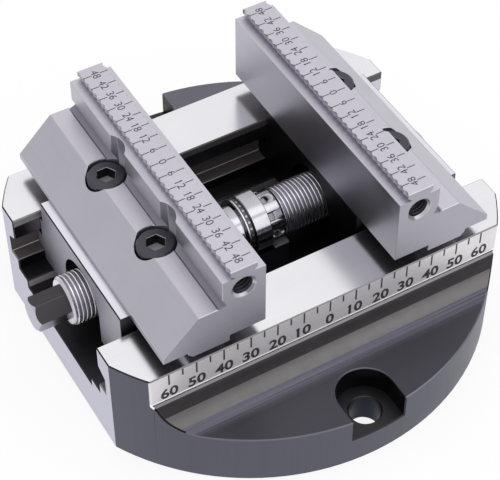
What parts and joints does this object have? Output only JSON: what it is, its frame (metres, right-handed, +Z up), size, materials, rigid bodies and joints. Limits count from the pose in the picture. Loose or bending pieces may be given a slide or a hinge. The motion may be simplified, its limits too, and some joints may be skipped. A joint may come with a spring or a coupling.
{
  "type": "self-centering vise",
  "caption": "Low self-centering machine vise: opposed jaws on a double-threaded spindle in a round slotted base with bolting flanges, side scale and stepped serrated jaws.",
  "frame": {"origin": "middle of the base's underside, half way between the two bolt holes", "axes": "+X along the spindle away from its drive hexagon, +Y across the ways towards the back, +Z up"},
  "size_m": [0.1588, 0.17, 0.079],
  "materials": {
    "base": "blackened steel, ground on the ways",
    "bearing": "blackened",
    "black_screws": "black oxide, satin",
    "ground_steel": "ground",
    "spindle": "bright turned",
    "drive": "black oxide",
    "slide": "satin ground",
    "nut": "machined bronze",
    "jaw": "matte ground"
  },
  "bodies": {
    "base": {"base": "base", "bearing_saddle": "bearing", "bearing_screws": "black_screws", "bearing_dowels": "ground_steel"},
    "spindle": {"spindle_left": "spindle", "spindle_right": "spindle", "drive_hex": "drive", "coupling_collar": "spindle", "coupling_pin": "ground_steel", "thrust_washer": "ground_steel", "thrust_cage": "bearing"},
    "left_carriage": {"left_slide": "slide", "left_nut": "nut", "left_nut_screws": "black_screws", "left_sleeves": "ground_steel", "left_jaw": "jaw", "left_jaw_screws": "black_screws"},
    "right_carriage": {"right_slide": "slide", "right_nut": "nut", "right_nut_screws": "black_screws", "right_sleeves": "ground_steel", "right_jaw": "jaw", "right_jaw_screws": "black_screws"}
  },
  "joints": [
    {"name": "left_travel", "type": "slide", "parent": "base", "child": "left_carriage", "axis": [1, 0, 0], "range_m": [-0.0095, 0.0245]},
    {"name": "right_travel", "type": "slide", "parent": "base", "child": "right_carriage", "axis": [-1, 0, 0], "range_m": [-0.0095, 0.0245]},
    {"name": "spindle_turn", "type": "hinge", "parent": "base", "child": "spindle", "pos_m": [0, 0, 0.0325], "axis": [1, 0, 0], "range_deg": [-2281, 5881]}
  ],
  "couplings": [
    {"joint": "right_travel", "follows": "left_travel", "ratio": 1},
    {"joint": "spindle_turn", "follows": "left_travel", "rad_per_m": 4188.8}
  ]
}
